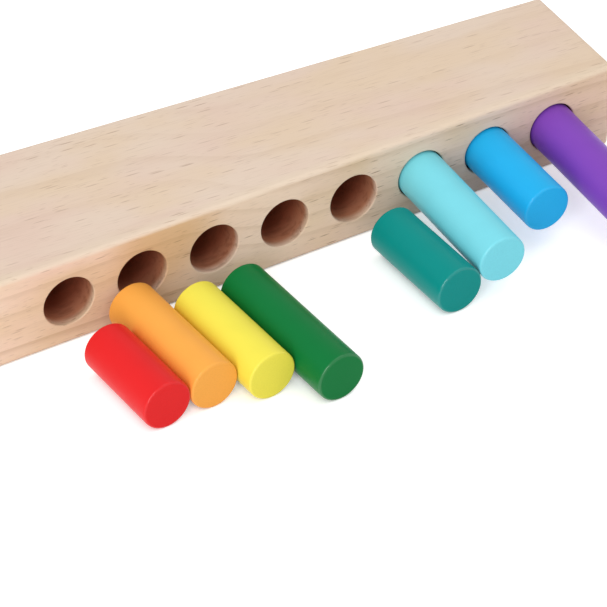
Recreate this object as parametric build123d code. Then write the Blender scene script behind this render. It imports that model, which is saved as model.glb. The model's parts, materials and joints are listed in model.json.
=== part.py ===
from build123d import *
import math
import os

# Cylinder block: a beech block with one row of blind round sockets, and a set of painted round pegs.
# The block lies on one of its wide sides, as it is used on a table, with the sockets facing -Y.
# All sizes are in millimetres. The origin is the middle of the block's underside, +Z is up,
# +X runs along the block and +Y points to its back.

# Pegs
peg_diameter = 20.0
peg_end_round = 0.7
red_length = 41.5
orange_length = 57.0
yellow_length = 51.5
green_length = 65.4
teal_length = 45.7
cyan_length = 83.1
blue_length = 66.2
purple_length = 90.0

# Sockets
socket_count = 8
socket_pitch = 31.0
socket_depth = 24.0
socket_clearance = 0.45
socket_mouth_round = 0.6
left_margin = 33.0
right_margin = 29.0

# Block. It is a little deeper at its left end: its back and both ends are square to each other,
# and the face with the sockets leans away towards the right end.
block_height = 38.0
left_depth = 75.3
right_depth = 57.0
block_edge_round = 2.0

# Pegs in their sockets. They fill the last sockets in this order, go in to the bottom
# and droop by the socket's clearance. Each one also leans a little to the right,
# and its droop turn is the angle between straight down and the way it leans.
seat_gap = 0.5
touch_gap = 0.05
cyan_droop_turn = 35.0
blue_droop_turn = 53.0
purple_droop_turn = 14.0
seated_pegs = (
    # name, length, droop turn
    ("cyan_peg", cyan_length, cyan_droop_turn),
    ("blue_peg", blue_length, blue_droop_turn),
    ("purple_peg", purple_length, purple_droop_turn),
)

# Pegs on the table, side by side in front of the block. A face distance is measured along the peg,
# from the block's front face to the middle of the peg's far end.
lying_gap = 0.3
row_start = 36.4
row_turn_degrees = 6.6
red_face_distance = 19.6
orange_face_distance = 3.1
yellow_face_distance = 14.7
green_face_distance = 14.5
row_pegs = (
    # name, length, face distance
    ("red_peg", red_length, red_face_distance),
    ("orange_peg", orange_length, orange_face_distance),
    ("yellow_peg", yellow_length, yellow_face_distance),
    ("green_peg", green_length, green_face_distance),
)

# One more, the teal peg, lies beside the first seated one, almost touching it at the end that faces out.
# The gap is kept until a little past the end of the seated one, so that it can still be drawn out.
teal_gap = 0.1
teal_gap_past_end = 1.0
teal_reach = 60.6
teal_turn_degrees = 5.3

# Worked out from the sizes above
peg_radius = peg_diameter / 2
socket_radius = peg_radius + socket_clearance
block_length = left_margin + (socket_count - 1) * socket_pitch + right_margin
left_x = -block_length / 2
right_x = block_length / 2
back_y = (left_depth + right_depth) / 4
face_slope = (left_depth - right_depth) / block_length
socket_height = block_height / 2
first_seated_socket = socket_count - len(seated_pegs) + 1
cyan_reach = cyan_length - (socket_depth - seat_gap)


def face_y(x):
    """Where the front face is, at a distance x along the block."""
    return back_y - left_depth + (x - left_x) * face_slope


def socket_mouth(number):
    """The middle of a socket's mouth. Sockets are numbered from the left, from 1."""
    x = left_x + left_margin + (number - 1) * socket_pitch
    return Vector(x, face_y(x), socket_height)


def make_block():
    outline = Polyline(
        (left_x, back_y),
        (left_x, face_y(left_x)),
        (right_x, face_y(right_x)),
        (right_x, back_y),
        close=True,
    )
    body = extrude(make_face(outline), amount=block_height)
    body = fillet(body.edges(), radius=block_edge_round)
    for number in range(1, socket_count + 1):
        mouth = socket_mouth(number)
        bottom = mouth + Vector(0, socket_depth, 0)
        drill = Plane(origin=bottom, z_dir=(0, -1, 0)) * Cylinder(
            socket_radius,
            2 * socket_depth,
            align=(Align.CENTER, Align.CENTER, Align.MIN),
        )
        body -= drill
    mouths = [
        edge
        for edge in body.edges()
        if any(is_mouth_edge(edge, socket_mouth(n)) for n in range(1, socket_count + 1))
    ]
    return fillet(mouths, radius=socket_mouth_round)


def is_mouth_edge(edge, mouth):
    """True for the oval edge where a socket meets the front face."""
    middle = edge.bounding_box().center()
    near_axis = math.hypot(middle.X - mouth.X, middle.Z - mouth.Z) < socket_clearance
    near_face = abs(middle.Y - mouth.Y) < socket_depth / 2
    return near_axis and near_face


def make_peg(start, direction, length):
    """A round peg with eased ends, from the middle of one end along a direction."""
    peg = Cylinder(peg_radius, length, align=(Align.CENTER, Align.CENTER, Align.MIN))
    peg = fillet(peg.edges().filter_by(GeomType.CIRCLE), radius=peg_end_round)
    return Plane(origin=start, z_dir=direction) * peg


def seated_axis(number, droop_turn):
    """The line of a seated peg: its crossing of the mouth, and its direction out of the socket.

    At the mouth the peg rests low and a little to the right, and its inner end is pushed up and left.
    """
    turn = math.radians(droop_turn)
    play = socket_clearance - touch_gap
    shift = Vector(math.sin(turn), 0, -math.cos(turn)) * play
    mouth = socket_mouth(number)
    crossing = mouth + shift
    inner = mouth + Vector(0, socket_depth, 0) - shift
    return crossing, (crossing - inner).normalized()


def make_seated_peg(number, length, droop_turn):
    crossing, out = seated_axis(number, droop_turn)
    inner_end = crossing - out * (socket_depth - seat_gap)
    return make_peg(inner_end, out, length)


def lying_direction(turn_degrees):
    """Level direction of a lying peg, from its far end to its near end."""
    turn = math.radians(turn_degrees)
    return Vector(math.sin(turn), -math.cos(turn), 0)


def make_row_peg(place, length, face_distance):
    """One of the pegs that lie side by side. The first one's axis meets the front face at row_start."""
    out = lying_direction(row_turn_degrees)
    sideways = Vector(-out.Y, out.X, 0)
    first_x = left_x + row_start
    first = Vector(first_x, face_y(first_x), peg_radius)
    beside = first + sideways * (place * (peg_diameter + lying_gap))
    to_face = (face_y(beside.X) - beside.Y) / (out.Y - face_slope * out.X)
    foot = beside + out * to_face
    return make_peg(foot + out * face_distance, out, length)


def make_teal_peg():
    """The peg beside the cyan one. Their sides are teal_gap apart where the first of the two ends."""
    crossing, out = seated_axis(first_seated_socket, cyan_droop_turn)
    closest_reach = min(teal_reach, cyan_reach + teal_gap_past_end)
    closest = crossing + out * closest_reach
    rise = closest.Z - peg_radius
    apart = math.sqrt((peg_diameter + teal_gap) ** 2 - rise**2)
    beside = Vector(closest.X - apart, closest.Y, peg_radius)
    direction = lying_direction(teal_turn_degrees)
    near_end = beside + direction * (teal_reach - closest_reach)
    return make_peg(near_end - direction * teal_length, direction, teal_length)


pieces = {"block": make_block()}
for place, (name, length, face_distance) in enumerate(row_pegs):
    pieces[name] = make_row_peg(place, length, face_distance)
pieces["teal_peg"] = make_teal_peg()
for place, (name, length, droop_turn) in enumerate(seated_pegs):
    pieces[name] = make_seated_peg(first_seated_socket + place, length, droop_turn)

os.makedirs("parts", exist_ok=True)
for name, piece in pieces.items():
    export_step(piece, f"parts/{name}.step")

for number in range(1, socket_count + 1):
    mouth = socket_mouth(number)
    print(f"socket {number} mouth at {mouth.X:.3f}, {mouth.Y:.3f}, {mouth.Z:.3f}")
for place, (name, length, droop_turn) in enumerate(seated_pegs):
    crossing, out = seated_axis(first_seated_socket + place, droop_turn)
    print(f"{name} points along {out.X:.6f}, {out.Y:.6f}, {out.Z:.6f}")
print(f"back at {back_y:.3f}, ends at {left_x:.3f} and {right_x:.3f}")
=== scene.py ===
# %% [markdown]
# A beech block with eight round sockets, and eight painted pegs, is dressed here for a photograph.
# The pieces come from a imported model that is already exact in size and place. This script loads
# it, models a finer piece in place of each one, mixes the wood and the paint, and lights the toy
# on a white table.

# %% Load the frame
import json
import math

import bmesh
import bpy
from mathutils import Matrix, Vector, noise


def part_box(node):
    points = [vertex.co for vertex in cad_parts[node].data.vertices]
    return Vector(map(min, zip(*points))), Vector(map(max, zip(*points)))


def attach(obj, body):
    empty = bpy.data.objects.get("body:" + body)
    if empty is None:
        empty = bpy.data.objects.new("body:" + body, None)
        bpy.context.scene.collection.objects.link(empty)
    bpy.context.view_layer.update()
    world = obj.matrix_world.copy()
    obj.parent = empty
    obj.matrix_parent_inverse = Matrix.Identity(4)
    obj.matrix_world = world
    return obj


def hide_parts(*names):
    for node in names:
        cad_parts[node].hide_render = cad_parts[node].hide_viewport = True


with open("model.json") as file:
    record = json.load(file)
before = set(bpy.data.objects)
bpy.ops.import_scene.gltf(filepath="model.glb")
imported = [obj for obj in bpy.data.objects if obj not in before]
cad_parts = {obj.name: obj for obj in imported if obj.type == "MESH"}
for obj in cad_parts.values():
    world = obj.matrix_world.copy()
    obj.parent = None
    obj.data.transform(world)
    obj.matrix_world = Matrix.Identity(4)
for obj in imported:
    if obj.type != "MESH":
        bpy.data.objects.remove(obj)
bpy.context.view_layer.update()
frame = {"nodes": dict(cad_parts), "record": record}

MM = 0.001
scene = bpy.context.scene

# %% [markdown]
# The photograph is taken from the left and from well above, with a long lens. A camera is easiest
# to read as a point that it looks at, a bearing, a height above the horizon and a distance, so it
# is written that way and turned into a matrix. A small roll is left, because the picture isn't
# quite level.

# %% Camera
AIM = Vector((-30.56, -80.5, 19.0)) * MM
BEARING = math.radians(-28.830)
HEIGHT_ANGLE = math.radians(38.024)
ROLL = math.radians(0.936)
DISTANCE = 1196.97 * MM
LENS = 193.13
CLIP_RATIO = 10


def aim_camera(camera, aim, bearing, height_angle, roll, distance):
    """Puts the camera at a distance from the point it looks at, and turns it about its view."""
    level = math.cos(height_angle)
    back = Vector((math.sin(bearing) * level, -math.cos(bearing) * level, math.sin(height_angle)))
    turn = (-back).to_track_quat("-Z", "Y").to_matrix() @ Matrix.Rotation(roll, 3, "Z")
    camera.matrix_world = Matrix.Translation(aim + back * distance) @ turn.to_4x4()


camera = bpy.data.objects.new("camera", bpy.data.cameras.new("camera"))
scene.collection.objects.link(camera)
camera.data.lens = LENS
camera.data.clip_start = DISTANCE / CLIP_RATIO
camera.data.clip_end = DISTANCE * CLIP_RATIO
aim_camera(camera, AIM, BEARING, HEIGHT_ANGLE, ROLL, DISTANCE)
scene.camera = camera
print("camera at", [round(value / MM, 1) for value in camera.matrix_world.translation], "mm")

# %% [markdown]
# Two helpers serve every piece. The first turns a finished bmesh into an object that stands for
# its node: normals are turned outwards, the object stays at the origin, and the piece rides on its
# body. Wide flat faces beside narrow rounded ones shade badly when all corners count alike, so the
# second adds the modifier that lets the large faces decide.


def finish_piece(shape, name, node, material):
    """Makes an object of the bmesh, in place of a node of the frame."""
    bmesh.ops.recalc_face_normals(shape, faces=shape.faces)
    for face in shape.faces:
        face.smooth = True
    mesh = bpy.data.meshes.new(name)
    shape.to_mesh(mesh)
    shape.free()
    mesh.materials.append(material)
    piece = bpy.data.objects.new(name, mesh)
    scene.collection.objects.link(piece)
    even_shading(piece)
    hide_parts(node)
    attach(piece, node)
    print(name, "has", len(mesh.polygons), "faces")


def even_shading(piece):
    """Large flat faces keep flat shading, and the rounded edges between them carry the turn."""
    modifier = piece.modifiers.new("even shading", "WEIGHTED_NORMAL")
    modifier.mode = "FACE_AREA"
    modifier.keep_sharp = True


# %% [markdown]
# Shader maths is easier to read as a formula than as a list of nodes. A Field wraps one output
# socket and turns +, -, *, / and ** into Math nodes, so that a mask can be written as
# 1 - wear * 0.5. Every other node comes from Finish.node, which sets its settings first and then
# its sockets.


# %% One output socket
class Field:
    """One output socket. Arithmetic on it adds Math nodes to its finish."""

    def __init__(self, finish, socket):
        self.finish = finish
        self.socket = socket

    def __add__(self, other):
        return self.finish.math("ADD", self, other)

    def __radd__(self, other):
        return self.finish.math("ADD", other, self)

    def __sub__(self, other):
        return self.finish.math("SUBTRACT", self, other)

    def __rsub__(self, other):
        return self.finish.math("SUBTRACT", other, self)

    def __mul__(self, other):
        return self.finish.math("MULTIPLY", self, other)

    def __rmul__(self, other):
        return self.finish.math("MULTIPLY", other, self)

    def __truediv__(self, other):
        return self.finish.math("DIVIDE", self, other)

    def __pow__(self, other):
        return self.finish.math("POWER", self, other)

    def larger(self, other):
        return self.finish.math("MAXIMUM", self, other)

    def ramp(self, low, high):
        """0 below low, 1 above high, smooth between. A low that is larger turns it round."""
        sockets = {"Value": self, "From Min": low, "From Max": high, "To Min": 0.0, "To Max": 1.0}
        return self.finish.node("ShaderNodeMapRange", {"interpolation_type": "SMOOTHSTEP"}, sockets)

    def lifted(self, low):
        """A field from 0 to 1, drawn together so that it starts at low and still ends at 1."""
        return low + self * (1 - low)

    def beside(self, name):
        """Another output of the same node."""
        return Field(self.finish, self.socket.node.outputs[name])


# %% The nodes of a finish
class Finish:
    """The nodes of a material or of the world, with the few kinds that this scene needs."""

    def __init__(self, owner):
        owner.use_nodes = True
        self.owner = owner
        self.tree = owner.node_tree
        self.tree.nodes.clear()

    def node(self, kind, settings=None, sockets=None, output=0):
        made = self.tree.nodes.new(kind)
        for name, value in (settings or {}).items():
            setattr(made, name, value)
        for name, value in (sockets or {}).items():
            if isinstance(value, Field):
                self.tree.links.new(value.socket, made.inputs[name])
            else:
                made.inputs[name].default_value = value
        return Field(self, made.outputs[output]) if made.outputs else None

    def math(self, operation, *values):
        return self.node("ShaderNodeMath", {"operation": operation}, dict(enumerate(values)))

    def place(self, move=(0, 0, 0), turn=(0, 0, 0), scale=(1, 1, 1), kind="POINT"):
        """Object coordinates through a Mapping node. Its TEXTURE kind moves the pattern itself."""
        plain = self.node("ShaderNodeTexCoord", output="Object")
        sockets = {"Vector": plain, "Location": move, "Rotation": turn, "Scale": scale}
        return self.node("ShaderNodeMapping", {"vector_type": kind}, sockets)

    def axes(self, vector):
        parts = self.node("ShaderNodeSeparateXYZ", sockets={"Vector": vector})
        return [parts.beside(axis) for axis in "XYZ"]

    def grain(self, vector, scale=1.0, detail=2.0):
        """Noise around 0.5."""
        sockets = {"Vector": vector, "Scale": scale, "Detail": detail}
        return self.node("ShaderNodeTexNoise", {"noise_dimensions": "3D"}, sockets)

    def blend(self, amount, first, second):
        """The second colour over the first one."""
        settings = {"data_type": "RGBA", "clamp_factor": True}
        return self.node("ShaderNodeMix", settings, {0: amount, 6: first, 7: second}, output=2)

    def bump(self, height, strength, distance):
        sockets = {"Height": height, "Strength": strength, "Distance": distance}
        return self.node("ShaderNodeBump", sockets=sockets)

    def surface(self, **sockets):
        """The Principled shader that ends a material. Socket names have _ for their spaces."""
        named = {name.replace("_", " "): value for name, value in sockets.items()}
        shader = self.node("ShaderNodeBsdfPrincipled", sockets=named)
        self.node("ShaderNodeOutputMaterial", sockets={"Surface": shader})
        return self.owner


# %% Colours
def colour(red, green, blue):
    """A colour as a screen shows it, 0 to 255, as the linear values that a shader works in."""

    def linear(value):
        share = value / 255
        return share / 12.92 if share <= 0.04045 else ((share + 0.055) / 1.055) ** 2.4

    return (linear(red), linear(green), linear(blue), 1.0)


print("half of a screen's white is", round(colour(128, 128, 128)[0], 3), "of its light")

# %% [markdown]
# The block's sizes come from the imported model. Its empty sockets are mounts, so the step from the
# first to the second places all eight, and shows how much the front leans. The sockets' depth and
# the roundings are the model's too, and are written here because no mount gives them.

# %% Block sizes
block_low, block_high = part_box("block")
mounts = {mount["name"]: mount for mount in frame["record"]["mounts"]}
first_bore = Vector(mounts["socket_1"]["pos_m"])
bore_step = Vector(mounts["socket_2"]["pos_m"]) - first_bore
SOCKET_COUNT = 8
SOCKET_RADIUS = mounts["socket_1"]["dims"]["r_mm"] * MM
SOCKET_DEPTH = 24.0 * MM
MOUTH_ROUND = 0.6 * MM
EDGE_ROUND = 2.0 * MM

mouths = [first_bore + bore_step * place for place in range(SOCKET_COUNT)]
for mouth in mouths:
    mouth.y -= SOCKET_DEPTH / 2
face_lean = bore_step.y / bore_step.x
first_face_y = mouths[0].y - mouths[0].x * face_lean
print("the first socket opens at", [round(value / MM, 2) for value in mouths[0]], "mm")


def face_y(x):
    """Where the leaning front face is, at a place along the block."""
    return first_face_y + x * face_lean


# %% [markdown]
# The block is plain sanded beech without varnish. Its looks come from how the board lay in the
# tree. Growth rings show as long soft bands, which bend where the grain rises, and the short thin
# dashes that beech is known by are its rays, cut along. All of it is a solid pattern, worked out in
# the block's own space, so it runs on round every edge, shows as arcs on the end grain, and goes
# down into the sockets. An image would need a map of the block, and would break at its edges.

# %% Growth rings
PITH = Vector((0.0, -90.0, -155.4)) * MM
RING_WIDTH = 8.0 * MM
SWAY_CELLS = (6, 26, 26)
SWAY_ACROSS = 8.0 * MM
SWAY_UP = 6.0 * MM
RISE = 10.0 * MM
RISE_BAND = (-10.0 * MM, -62.0 * MM)
LATE_START, LATE_PEAK = 0.6, 0.95
FAINTEST_YEAR = 0.2


def ring_count(wood, x, y, z):
    """How many rings out from the middle of the tree a point lies."""
    sway = wood.grain(wood.place(scale=SWAY_CELLS)) - 0.5
    across = y - PITH.y + sway * SWAY_ACROSS
    upward = z - PITH.z - x.ramp(*RISE_BAND) * RISE + sway * SWAY_UP
    return (across * across + upward * upward) ** 0.5 / RING_WIDTH


def late_wood(wood, rings):
    """The thin dark line that closes a ring, as strong as that ring's own year made it."""
    share = wood.math("FRACT", rings)
    number = wood.math("FLOOR", rings)
    year = wood.node("ShaderNodeTexWhiteNoise", {"noise_dimensions": "1D"}, {"W": number})
    line = share.ramp(LATE_START, LATE_PEAK) - share.ramp(LATE_PEAK, 1.0)
    return line * year.lifted(FAINTEST_YEAR)


reaches = [math.hypot(edge.y - PITH.y, edge.z - PITH.z) for edge in (block_low, block_high)]
first_ring, last_ring = (round(reach / RING_WIDTH) for reach in reaches)
print("rings", first_ring, "to", last_ring, "of the tree run through the block")

# %% Rays
RAYS = {"spacing": 17.0 * MM, "thickness": 1.3 * MM, "share": 0.75, "move": (3, 5, 7)}
FINE_RAYS = {"spacing": 8.0 * MM, "thickness": 0.8 * MM, "share": 0.8, "move": (11, 2, 9)}
RAY_STRENGTH = 0.95
FINE_RAY_STRENGTH = 0.55
DASH_EDGE = (0.24, 0.10)
CHANCE_EDGE = 0.02
FAINTEST_DASH = 0.4
CLUSTER_CELLS = (22, 70, 70)
CLUSTER_EDGE = (0.3, 0.6)
BETWEEN_CLUSTERS = 0.4


def dashes(wood, spacing, thickness, share, move):
    """Thin dashes along the grain. A drawn-out cell holds one at most, by its own chance."""
    cells = wood.place(move=move, scale=(1 / spacing, 1 / thickness, 1 / thickness))
    sockets = {"Vector": cells, "Scale": 1.0}
    distance = wood.node("ShaderNodeTexVoronoi", {"feature": "F1"}, sockets)
    chance, strength, _ = wood.axes(distance.beside("Color"))
    drawn = distance.ramp(*DASH_EDGE) * chance.ramp(1 - share, 1 - share + CHANCE_EDGE)
    return drawn * strength.lifted(FAINTEST_DASH)


def ray_marks(wood):
    """Long and short rays, which crowd together in some places and grow faint in others."""
    coarse = dashes(wood, **RAYS) * RAY_STRENGTH
    fine = dashes(wood, **FINE_RAYS) * FINE_RAY_STRENGTH
    clusters = wood.grain(wood.place(scale=CLUSTER_CELLS)).ramp(*CLUSTER_EDGE)
    return coarse.larger(fine) * clusters.lifted(BETWEEN_CLUSTERS)


# %% Tints of the bare wood
TOP_PALE = colour(230, 209, 190)
TOP_PINK = colour(228, 201, 184)
TOP_SAND = colour(229, 205, 179)
# A paler band along the top's front edge: partly sanded wood, partly a painted highlight on the
# rounding.
SANDED_EDGE_AND_HIGHLIGHT = colour(232, 213, 188)
FACE_TAN = colour(237, 211, 188)
FACE_WARM = colour(233, 202, 180)
FACE_OLIVE = colour(226, 197, 164)
STREAK = colour(216, 178, 134)
END_GRAIN = colour(206, 168, 132)

BLOTCH_CELLS = (14, 26, 26)
BLOTCH_EDGE = (0.35, 0.68)
TINT_CELLS = (18, 34, 34)
TINT_MOVE = (4, 4, 4)
SAND_EDGE = (0.45, 0.7)
OLIVE_EDGE = (0.48, 0.7)
SANDED_EDGE_AND_HIGHLIGHT_BAND = (6.0 * MM, 2.0 * MM)
SANDED_EDGE_AND_HIGHLIGHT_SHARE = 0.5
END_BAND = (block_high.x - 1.2 * MM, block_high.x - 0.2 * MM)
END_SHARE = 0.8
STREAK_AT = Vector((-66.0, 0.0, 30.0)) * MM
STREAK_LENGTH = 28.0 * MM
STREAK_HEIGHT = 22.0 * MM
STREAK_EDGE = (1.0, 0.1)
STREAK_BAND = (14.0 * MM, 4.0 * MM)
STREAK_SHARE = 0.85


def bare_wood(wood, x, y, z, on_top):
    """The wood without its marks: pale on top, paler still at the front edge, partly as a painted
    highlight, warmer in front with a streak, dark at the ends.
    """
    blotches = wood.grain(wood.place(scale=BLOTCH_CELLS))
    tint = wood.grain(wood.place(move=TINT_MOVE, scale=TINT_CELLS))
    behind_face = y - face_y(x)
    sanded_edge_and_highlight = behind_face.ramp(*SANDED_EDGE_AND_HIGHLIGHT_BAND) * on_top
    along = (x - STREAK_AT.x) / STREAK_LENGTH
    upward = (z - STREAK_AT.z) / STREAK_HEIGHT
    in_streak = (along * along + upward * upward + blotches - 0.5).ramp(*STREAK_EDGE)
    on_end = wood.math("ABSOLUTE", x).ramp(*END_BAND)

    top = wood.blend(blotches.ramp(*BLOTCH_EDGE), TOP_PALE, TOP_PINK)
    top = wood.blend(tint.ramp(*SAND_EDGE), top, TOP_SAND)
    # The paler front edge of the top is partly sanded wood and partly a painted highlight.
    top = wood.blend(sanded_edge_and_highlight * SANDED_EDGE_AND_HIGHLIGHT_SHARE, top, SANDED_EDGE_AND_HIGHLIGHT)
    face = wood.blend(blotches.ramp(*BLOTCH_EDGE), FACE_TAN, FACE_WARM)
    face = wood.blend(tint.ramp(*OLIVE_EDGE), face, FACE_OLIVE)
    face = wood.blend(in_streak * behind_face.ramp(*STREAK_BAND) * STREAK_SHARE, face, STREAK)
    face = wood.blend(on_end * END_SHARE, face, END_GRAIN)
    return wood.blend(on_top, face, top)


print("darker end grain starts", round((block_high.x - END_BAND[0]) / MM, 1), "mm from the ends")

# %% [markdown]
# The sockets' walls are painted darker with depth. Just inside the mouth this is partly the drilled
# wood's own darker colour and partly painted shade. Further down it is painted shade for the light
# that hardly reaches in. Their flat bottoms are painted paler again. The drill also tears the
# fibres in places and marks the walls with fine rings. A mask by place would have to find all eight
# sockets, so all of this follows a depth that the block's mesh carries: 0 at the mouth and 1 at the
# bottom.

# %% Drilled wood
# The wall colour just inside the mouth is partly drilled wood and partly painted shade. The deep
# colour is painted shade for the light that hardly reaches down.
DRILLED_AND_SHADE = colour(186, 118, 84)
DRILLED_AND_SHADE_BAND, DRILLED_AND_SHADE_SHARE = (0.0, 0.2), 0.9
DEEP_SHADE = colour(128, 60, 38)
DEEP_SHADE_BAND, DEEP_SHADE_SHARE = (0.06, 0.62), 0.9
TORN = colour(108, 58, 38)
TORN_BAND, TORN_SHARE = (0.0, 0.06), 0.35
TORN_CELLS = (90, 420, 420)
TORN_DETAIL = 4.0
TORN_EDGE = (0.45, 0.7)
SOCKET_BOTTOM = colour(226, 174, 132)
BOTTOM_BAND, BOTTOM_SHARE = (0.98, 1.0), 0.9
TOOL_RINGS = 22
TOOL_BAND = (0.01, 0.05)


def drilled_and_shaded_wood(wood, base, depth):
    """The wood's colour, darkened on the sockets' walls: partly drilled wood, mostly painted shade.
    """
    # Painted shade: the walls grow darker and redder with depth.
    base = wood.blend(depth.ramp(*DRILLED_AND_SHADE_BAND) * DRILLED_AND_SHADE_SHARE, base, DRILLED_AND_SHADE)
    base = wood.blend(depth.ramp(*DEEP_SHADE_BAND) * DEEP_SHADE_SHARE, base, DEEP_SHADE)
    torn = wood.grain(wood.place(scale=TORN_CELLS), detail=TORN_DETAIL).ramp(*TORN_EDGE)
    base = wood.blend(depth.ramp(*TORN_BAND) * torn * TORN_SHARE, base, TORN)
    return wood.blend(depth.ramp(*BOTTOM_BAND) * BOTTOM_SHARE, base, SOCKET_BOTTOM)


def tool_marks(wood, depth):
    """Fine rings round the wall, which begin just inside the mouth."""
    return wood.math("SINE", depth * (math.tau * TOOL_RINGS)) * depth.ramp(*TOOL_BAND)


print("a ring of the drill every", round(SOCKET_DEPTH / MM / TOOL_RINGS, 2), "mm")

# %% Beech
FLECK = colour(150, 112, 84)
RING = colour(178, 140, 100)
TOP_BAND = (block_high.z - 2.2 * MM, block_high.z - 0.4 * MM)
RINGS_IN_FRONT = 0.42
RINGS_LOST_ON_TOP = 0.30
MARKS_IN_FRONT = 0.85
MARKS_LOST_ON_TOP = 0.22
MARKS_LOST_TO_RIGHT = 0.2
RIGHT_BAND = (-30.0 * MM, 70.0 * MM)
FIBRE_CELLS = (70, 2400, 2400)
FIBRE_DETAIL = 3.0
FIBRE_EDGE = (0.5, 0.85)
FIBRE_SHARE = 0.22
FIBRE_HEIGHT = 0.4
TOOL_HEIGHT = 0.5
RELIEF = 0.05 * MM
RELIEF_STRENGTH = 0.4
SANDED_ROUGHNESS = 0.56
FIBRE_ROUGHNESS = 0.12
BARE_SHINE = 0.25


def make_beech():
    wood = Finish(bpy.data.materials.new("beech"))
    x, y, z = wood.axes(wood.place())
    on_top = z.ramp(*TOP_BAND)
    base = bare_wood(wood, x, y, z, on_top)
    late = late_wood(wood, ring_count(wood, x, y, z))
    base = wood.blend(late * (RINGS_IN_FRONT - on_top * RINGS_LOST_ON_TOP), base, RING)
    marks = ray_marks(wood)
    faded = MARKS_LOST_ON_TOP + x.ramp(*RIGHT_BAND) * MARKS_LOST_TO_RIGHT
    base = wood.blend(marks * (MARKS_IN_FRONT - on_top * faded), base, FLECK)
    fibre = wood.grain(wood.place(scale=FIBRE_CELLS), detail=FIBRE_DETAIL)
    base = wood.blend(fibre.ramp(*FIBRE_EDGE) * FIBRE_SHARE, base, FLECK)
    depth = wood.node("ShaderNodeAttribute", {"attribute_name": "socket_depth"}, output="Fac")
    base = drilled_and_shaded_wood(wood, base, depth)
    height = fibre * FIBRE_HEIGHT - marks + tool_marks(wood, depth) * TOOL_HEIGHT
    return wood.surface(
        Base_Color=base,
        Roughness=SANDED_ROUGHNESS + fibre * FIBRE_ROUGHNESS,
        Normal=wood.bump(height, RELIEF_STRENGTH, RELIEF),
        Specular_IOR_Level=BARE_SHINE,
    )


beech = make_beech()
print("beech:", len(beech.node_tree.nodes), "nodes")

# %% [markdown]
# The block's long side is drilled eight times. A hole in a flat face is cleanest when the face is
# laid out round it: each socket gets a tile, which is a circle whose rim is drawn out to a
# rectangle. The tiles join into the front, the front's outline is drawn back into the sides, and
# the outer edges are beveled. The sockets come last, as a profile that each rim follows inwards.

# %% Front tiles
CIRCLE_STEPS = 64
TINY = 0.001 * MM
WELD = 10 * TINY


def draw_out(shape, edges):
    """Draws edges out into new faces, and gives the new vertices and the new open edges."""
    made = bmesh.ops.extrude_edge_only(shape, edges=edges)["geom"]
    verts = [part for part in made if isinstance(part, bmesh.types.BMVert)]
    new_edges = [part for part in made if isinstance(part, bmesh.types.BMEdge)]
    return verts, [edge for edge in new_edges if edge.is_boundary]


def add_tile(shape, mouth, left, right):
    """A stretch of the front round one socket: a ring of faces from its rim to a rectangle."""
    middle = Vector((mouth.x, 0, mouth.z))
    upright = Matrix.Translation(middle) @ Matrix.Rotation(math.pi / 2, 4, "X")
    radius = SOCKET_RADIUS + MOUTH_ROUND
    made = bmesh.ops.create_circle(shape, segments=CIRCLE_STEPS, radius=radius, matrix=upright)
    rim = dict.fromkeys(edge for vert in made["verts"] for edge in vert.link_edges)
    outline, _ = draw_out(shape, list(rim))
    corners = [Vector((x, 0, z)) for x in (left, right) for z in (block_low.z, block_high.z)]
    for vert in outline:
        away = vert.co - middle
        side = (right if away.x > 0 else left) - mouth.x
        end = (block_high.z if away.z > 0 else block_low.z) - mouth.z
        stretch_x = side / away.x if abs(away.x) > TINY else math.inf
        stretch_z = end / away.z if abs(away.z) > TINY else math.inf
        vert.co = middle + away * min(stretch_x, stretch_z)
    for corner in corners:
        nearest = min(outline, key=lambda vert: (vert.co - corner).length)
        nearest.co = corner


def add_front(shape):
    """Eight tiles in a row, each reaching halfway to the next socket or to the block's end."""
    halfway = bore_step.x / 2
    for place, mouth in enumerate(mouths):
        left = block_low.x if place == 0 else mouth.x - halfway
        right = block_high.x if place == SOCKET_COUNT - 1 else mouth.x + halfway
        add_tile(shape, mouth, left, right)
    bmesh.ops.remove_doubles(shape, verts=shape.verts, dist=WELD)
    print("front:", len(shape.faces), "faces")


# %% Sides and back
EDGE_STEPS = 6
SHARP_ANGLE = math.radians(45)


def on_limits(vert):
    """Whether a vertex lies on the front's left or right limit, and on its lower or upper one."""
    at_side = min(abs(vert.co.x - block_low.x), abs(vert.co.x - block_high.x)) < WELD
    at_end = min(abs(vert.co.z - block_low.z), abs(vert.co.z - block_high.z)) < WELD
    return at_side, at_end


def is_border(edge):
    """True for an open edge on the front's outline, but not for one on a socket's rim."""
    return edge.is_boundary and all(any(on_limits(vert)) for vert in edge.verts)


def is_corner_line(edge):
    """True for the line from a corner of the front to a socket's rim."""
    return not edge.is_boundary and sum(all(on_limits(vert)) for vert in edge.verts) == 1


def add_sides(shape):
    """Draws the front's outline back, closes it behind, and leans the front.

    The lines to the corners are dissolved first, so that just three edges meet at each corner
    and the bevel is clean there.
    """
    border = [edge for edge in shape.edges if is_border(edge)]
    corner_lines = [edge for edge in shape.edges if is_corner_line(edge)]
    bmesh.ops.dissolve_edges(shape, edges=corner_lines)
    behind, back_edges = draw_out(shape, border)
    for vert in shape.verts:
        vert.co.y = face_y(vert.co.x)
    for vert in behind:
        vert.co.y = block_high.y
    bmesh.ops.edgeloop_fill(shape, edges=back_edges)


def round_edges(shape):
    """Bevels the twelve outer edges, which are where two faces meet at about a right angle."""
    bmesh.ops.recalc_face_normals(shape, faces=shape.faces)
    inner = [edge for edge in shape.edges if len(edge.link_faces) == 2]
    bmesh.ops.bevel(
        shape,
        geom=[edge for edge in inner if edge.calc_face_angle() > SHARP_ANGLE],
        affect="EDGES",
        offset_type="OFFSET",
        offset=EDGE_ROUND,
        segments=EDGE_STEPS,
        profile=0.5,
        material=-1,
        loop_slide=True,
    )


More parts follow.
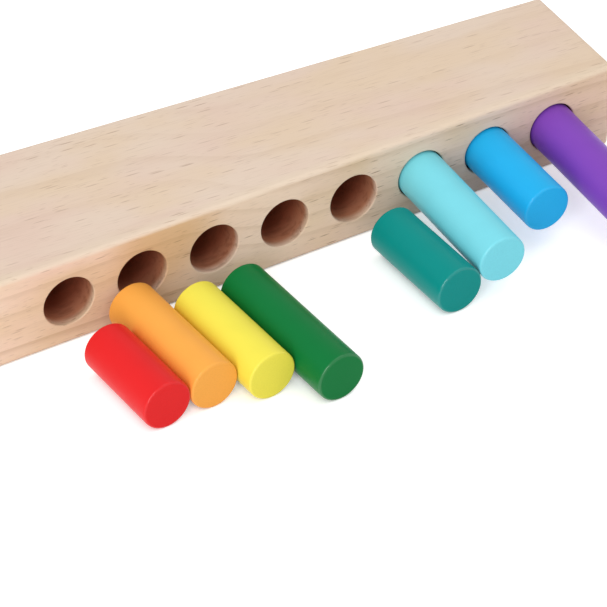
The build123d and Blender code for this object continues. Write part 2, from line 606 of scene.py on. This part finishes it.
# %% Sockets
MOUTH_STEPS = 4
WALL_SHARES = (0.25, 0.5, 0.75)
BOTTOM_ROUND = 0.4 * MM
BOTTOM_STEPS = 3
BIT_POINT = 1.6 * MM
BIT_PROFILE = ((1, 0), (1 / 2, 1 / 3), (0, 1 / 2))


def arc(radius, depth, size, start, end, steps):
    """Points of a profile on an arc about a radius and a depth. Angles are in degrees."""
    turns = [math.radians(start + (end - start) * step / steps) for step in range(1, steps + 1)]
    return [(radius + size * math.cos(turn), depth + size * math.sin(turn)) for turn in turns]


def socket_profile():
    """Radius and depth, from the rim inwards: mouth, wall, rounded corner and mark of the bit."""
    mouth_radius = SOCKET_RADIUS + MOUTH_ROUND
    mouth = arc(mouth_radius, MOUTH_ROUND, MOUTH_ROUND, -90, -180, MOUTH_STEPS)
    wall = [(SOCKET_RADIUS, SOCKET_DEPTH * share) for share in WALL_SHARES]
    corner_depth = SOCKET_DEPTH - BOTTOM_ROUND
    wall.append((SOCKET_RADIUS, corner_depth))
    corner = arc(SOCKET_RADIUS - BOTTOM_ROUND, corner_depth, BOTTOM_ROUND, 0, 90, BOTTOM_STEPS)
    bit_mark = [(BIT_POINT * out, SOCKET_DEPTH + BIT_POINT * down) for out, down in BIT_PROFILE]
    return mouth + wall + corner + bit_mark


def add_socket(shape, mouth, rim, depth_layer):
    """Draws a rim inwards along the profile, and writes each ring's depth into the mesh."""
    for radius, depth in socket_profile():
        ring, rim = draw_out(shape, rim)
        for vert in ring:
            away = Vector((vert.co.x - mouth.x, 0, vert.co.z - mouth.z)).normalized() * radius
            at_face = face_y(mouth.x + away.x) if depth <= MOUTH_ROUND else mouth.y
            vert.co = Vector((mouth.x + away.x, at_face + depth, mouth.z + away.z))
            vert[depth_layer] = depth / SOCKET_DEPTH
    bmesh.ops.remove_doubles(shape, verts=ring, dist=WELD)


# %% The block
def make_block():
    shape = bmesh.new()
    depth_layer = shape.verts.layers.float.new("socket_depth")
    add_front(shape)
    add_sides(shape)
    round_edges(shape)
    rims = [edge for edge in shape.edges if edge.is_boundary]
    for mouth in mouths:
        rim = [edge for edge in rims if abs(edge.verts[0].co.x - mouth.x) < bore_step.x / 2]
        add_socket(shape, mouth, rim, depth_layer)
    finish_piece(shape, "beech_block", "block", beech)


make_block()

# %% [markdown]
# The pegs are dipped in satin water paint, one colour each. One plain colour would do from afar,
# but real paint is a little cloudy, lets the dowel's fibres show as faint ridges along the peg, and
# sinks into the end grain, which stays duller. The ends are also painted darker, partly for the
# sunk paint and partly as painted shade for the lesser light that reaches them. On the eased rims
# the paint draws together into a thicker bead, which catches the lamp as a thin bright arc, on some
# pegs more than on others. The rims and ends are found by their place along and across the peg, so
# no map is needed.

# %% Peg colours
PEG_RADIUS = 10.0 * MM
PEGS = {
    # name: paint, gloss of the rim, width of the eased rim
    "red": (colour(229, 36, 38), 0.45, 1.1 * MM),
    "orange": (colour(250, 174, 78), 0.25, 1.0 * MM),
    "yellow": (colour(244, 231, 84), 0.35, 0.9 * MM),
    "green": (colour(4, 117, 56), 0.85, 0.8 * MM),
    "teal": (colour(0, 143, 137), 0.75, 0.9 * MM),
    "cyan": (colour(128, 222, 236), 0.5, 1.1 * MM),
    "blue": (colour(36, 180, 240), 0.5, 1.1 * MM),
    "purple": (colour(134, 74, 188), 0.5, 1.0 * MM),
}
print("pegs:", ", ".join(PEGS))

# %% Paint
CLOUD_CELLS = 110.0
CLOUD_DETAIL = 3.0
CLOUD_EDGE = (0.35, 0.8)
CLOUD_SHARE = 0.16
PEG_FIBRE_CELLS = 1400.0
PEG_FIBRE_STRETCH = (1, 1, 14)
PORE_CELLS = 2200.0
PORE_EDGE = (0.35, 0.75)
PORE_SHARE = 0.3
SHADE_OF_PAINT = 0.84
# How much darker the ends are: partly sunk paint, partly painted shade.
SUNK_AND_SHADE_SHARE = 0.5
RIM_DEPTHS = (1.1 * MM, 0.4 * MM)
END_DEPTHS = (0.7 * MM, 0.1 * MM)
CLOUD_HEIGHT = 0.8
PEG_FIBRE_HEIGHT = 0.35
PORE_HEIGHT = 0.12
PORE_HEIGHT_ON_END = 0.5
PAINT_RELIEF = 0.03 * MM
PAINT_RELIEF_STRENGTH = 0.25
PAINT_ROUGHNESS = 0.33
CLOUD_ROUGHNESS = 0.08
END_ROUGHNESS = 0.12
PAINT_SHINE = 0.12
BEAD_ROUGHNESS = 0.05


def near_limit(distance, limit, depths):
    """0 further inside the limit than the first depth, 1 beyond the second one."""
    return distance.ramp(*(limit - depth for depth in depths))


def make_paint(name, middle, turn, length):
    """Satin paint. The pattern's own z runs along the peg, so its fibres can be drawn out."""
    body_colour, rim_gloss, _ = PEGS[name]
    dark = tuple(SHADE_OF_PAINT * value for value in body_colour[:3]) + (1.0,)
    paint = Finish(bpy.data.materials.new(name + "_paint"))
    local = paint.place(middle, turn, kind="TEXTURE")
    drawn_out = paint.place(middle, turn, PEG_FIBRE_STRETCH, kind="TEXTURE")
    x, y, along = paint.axes(local)
    from_middle = paint.math("ABSOLUTE", along)
    from_axis = (x * x + y * y) ** 0.5
    at_end = near_limit(from_middle, length / 2, END_DEPTHS)
    at_rim = near_limit(from_axis, PEG_RADIUS, RIM_DEPTHS)
    at_rim = at_rim * near_limit(from_middle, length / 2, RIM_DEPTHS)

    cloudy = paint.grain(local, CLOUD_CELLS, CLOUD_DETAIL)
    fibres = paint.grain(drawn_out, PEG_FIBRE_CELLS)
    pores = paint.grain(local, PORE_CELLS)
    base = paint.blend(cloudy.ramp(*CLOUD_EDGE) * CLOUD_SHARE, body_colour, dark)
    # The ends are darker: paint sunk into the end grain, and partly a painted shade for the ends'
    # lesser light.
    base = paint.blend(at_end * (SUNK_AND_SHADE_SHARE + pores.ramp(*PORE_EDGE) * PORE_SHARE), base, dark)
    fibre_height = fibres * (PEG_FIBRE_HEIGHT - at_end * PEG_FIBRE_HEIGHT)
    pore_height = pores * (PORE_HEIGHT + at_end * PORE_HEIGHT_ON_END)
    height = cloudy * CLOUD_HEIGHT + fibre_height + pore_height
    return paint.surface(
        Base_Color=base,
        Roughness=PAINT_ROUGHNESS + cloudy * CLOUD_ROUGHNESS + at_end * END_ROUGHNESS,
        Normal=paint.bump(height, PAINT_RELIEF_STRENGTH, PAINT_RELIEF),
        Specular_IOR_Level=PAINT_SHINE,
        Coat_Weight=at_rim * rim_gloss,
        Coat_Roughness=BEAD_ROUGHNESS,
    )


# %% [markdown]
# Each peg is cut from a dowel and its ends are eased on a sander. Its place is read from its packed
# solid: the middle of its box is its own middle, and the flat of its near end faces along it. On
# that line the peg is a cylinder with beveled rims. A dowel is never perfectly true, so its side is
# drawn in here and there by a few hundredths of a millimetre, and each end is a very shallow dome.

# %% Where the pegs lie
FRONT_FACING = -0.5


def peg_line(node):
    """The middle of a peg, the turn that points Z to its near end, and its length."""
    mesh = frame["nodes"][node].data
    near_end = Vector((0, 0, 0))
    for face in mesh.polygons:
        if face.normal.y < FRONT_FACING:
            near_end += face.normal * face.area
    direction = near_end.normalized()
    low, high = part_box(node)
    reach = [vert.co.dot(direction) for vert in mesh.vertices]
    return (low + high) / 2, direction.to_track_quat("Z", "Y"), max(reach) - min(reach)


# %% A dowel's unevenness
UNEVEN = 0.06 * MM
UNEVEN_SPACING = 14.0 * MM
DOME = 0.08 * MM
DOME_POWER = 8


def wear_in(shape, seed, length):
    """Draws the side in a little by a slow noise, and lowers the ends towards their rims."""
    for vert in shape.verts:
        swing = noise.noise(vert.co / UNEVEN_SPACING + seed / MM) * 0.5 + 0.5
        ring = min(math.hypot(vert.co.x, vert.co.y) / PEG_RADIUS, 1)
        narrow = 1 - UNEVEN / PEG_RADIUS * swing
        vert.co.x *= narrow
        vert.co.y *= narrow
        near_end = (2 * abs(vert.co.z) / length) ** DOME_POWER
        vert.co.z -= math.copysign(DOME * ring * ring, vert.co.z) * near_end


# %% Pegs
PEG_STEPS = 72
RING_SPACING = 4.0 * MM
RIM_STEPS = 6
END_INSETS = (0.35, 0.5)


def is_rim(edge, length):
    """True for an edge round one of the two ends."""
    one, other = (vert.co.z for vert in edge.verts)
    return abs(one - other) < TINY and abs(abs(one) - length / 2) < TINY


def end_faces(shape):
    return [face for face in shape.faces if len(face.verts) == PEG_STEPS]


def turned_dowel(length, rim_width):
    """A cylinder in rings, with beveled rims and ends that are laid out round their middles."""
    shape = bmesh.new()
    size = {"radius1": PEG_RADIUS, "radius2": PEG_RADIUS, "depth": length}
    bmesh.ops.create_cone(shape, cap_ends=True, segments=PEG_STEPS, **size)
    sides = [edge for edge in shape.edges if not is_rim(edge, length)]
    cuts = round(length / RING_SPACING)
    bmesh.ops.subdivide_edges(shape, edges=sides, cuts=cuts, use_grid_fill=True)
    bmesh.ops.bevel(
        shape,
        geom=[edge for edge in shape.edges if is_rim(edge, length)],
        affect="EDGES",
        offset_type="OFFSET",
        offset=rim_width,
        segments=RIM_STEPS,
        profile=0.5,
        material=-1,
    )
    for share in END_INSETS:
        inset = PEG_RADIUS * share
        bmesh.ops.inset_individual(shape, faces=end_faces(shape), thickness=inset)
    bmesh.ops.poke(shape, faces=end_faces(shape))
    return shape


def make_peg(name):
    _, _, rim_width = PEGS[name]
    middle, turn, length = peg_line(name + "_peg")
    shape = turned_dowel(length, rim_width)
    wear_in(shape, middle, length)
    place = Matrix.Translation(middle) @ turn.to_matrix().to_4x4()
    bmesh.ops.transform(shape, matrix=place, verts=shape.verts)
    paint = make_paint(name, middle, turn.to_euler(), length)
    finish_piece(shape, name + "_dowel", name + "_peg", paint)


for peg_name in PEGS:
    make_peg(peg_name)

# %% [markdown]
# The toy lies on white paper that fades into a white room. To the eye alone the paper shines a
# little, so that it reaches white while the toy's own shadow stays on it. That shine could be even,
# but then the narrow gaps between the pieces would be white too, so it gives out where the toy
# stands close over the paper, which paints a darker shade into those gaps.

# %% Table
WHITE = (1.0, 1.0, 1.0, 1.0)
TABLE_SIZE = 6.0
TABLE_WHITE = (0.9, 0.9, 0.9, 1.0)
TABLE_GLOW = 0.48
SHADE_REACH = 6.0 * MM
SHADE_SAMPLES = 8
SHADE_EDGE = (0.05, 0.5)


def seen_rays(finish):
    """1 for rays that show a thing to the eye, straight or mirrored, 0 for those that light it."""
    camera_ray = finish.node("ShaderNodeLightPath", output="Is Camera Ray")
    glossy_ray = camera_ray.beside("Is Glossy Ray")
    return camera_ray.larger(glossy_ray).larger(camera_ray.beside("Is Transmission Ray"))


def make_paper():
    """White paper, with a glow that gives out close under the toy, a painted shade in the gaps."""
    paper = Finish(bpy.data.materials.new("paper"))
    samples = {"samples": SHADE_SAMPLES}
    reach = {"Distance": SHADE_REACH}
    open_sky = paper.node("ShaderNodeAmbientOcclusion", samples, reach, output="AO")
    # The glow is dimmed by ambient occlusion: a painted shade in the gaps under the toy.
    strength = seen_rays(paper) * open_sky.ramp(*SHADE_EDGE) * TABLE_GLOW
    plain = paper.node("ShaderNodeBsdfDiffuse", sockets={"Color": TABLE_WHITE})
    glow = paper.node("ShaderNodeEmission", sockets={"Color": WHITE, "Strength": strength})
    both = paper.node("ShaderNodeAddShader", sockets={0: plain, 1: glow})
    paper.node("ShaderNodeOutputMaterial", sockets={"Surface": both})
    return paper.owner


def make_table():
    shape = bmesh.new()
    bmesh.ops.create_grid(shape, x_segments=1, y_segments=1, size=TABLE_SIZE)
    mesh = bpy.data.meshes.new("table")
    shape.to_mesh(mesh)
    shape.free()
    mesh.materials.append(make_paper())
    table = bpy.data.objects.new("table", mesh)
    scene.collection.objects.link(table)
    print("the table is", round(table.dimensions.x, 1), "m wide")


make_table()

# %% [markdown]
# The light is that of a white tent. It comes from everywhere, a little more from above, and a tall
# softbox at the front left draws the thin bright arcs on the pegs' rims. A small lamp could draw
# them too, but its shadows would have hard edges. The room is white to the eye, and a little less
# bright as a light, so that pale wood doesn't turn white as well.

# %% Light
SKY_STRENGTH = 0.71
LAMP_TARGET = Vector((0, -0.04, 0.02))
LAMPS = {
    # name: where it hangs in metres, watts, width, height
    "overhead": ((0.25, 0.05, 1.1), 1.7, 0.8, 0.8),
    "tall softbox": ((-0.86, -0.86, 0.60), 7.2, 0.36, 0.9),
}


def make_sky():
    room = Finish(bpy.data.worlds.new("room"))
    scene.world = room.owner
    strength = seen_rays(room).lifted(SKY_STRENGTH)
    sky = room.node("ShaderNodeBackground", sockets={"Color": WHITE, "Strength": strength})
    room.node("ShaderNodeOutputWorld", sockets={"Surface": sky})


def add_lamp(name, where, watts, width, height):
    """A soft lamp with a rectangular front, aimed at the toy."""
    lamp = bpy.data.objects.new(name, bpy.data.lights.new(name, "AREA"))
    scene.collection.objects.link(lamp)
    lamp.data.energy = watts
    lamp.data.shape = "RECTANGLE"
    lamp.data.size = width
    lamp.data.size_y = height
    turn = (LAMP_TARGET - Vector(where)).to_track_quat("-Z", "Y")
    lamp.matrix_world = Matrix.Translation(where) @ turn.to_matrix().to_4x4()
    print(name, "shines with", watts, "W")


make_sky()
for lamp_name, lamp in LAMPS.items():
    add_lamp(lamp_name, *lamp)
scene.view_settings.view_transform = "Standard"
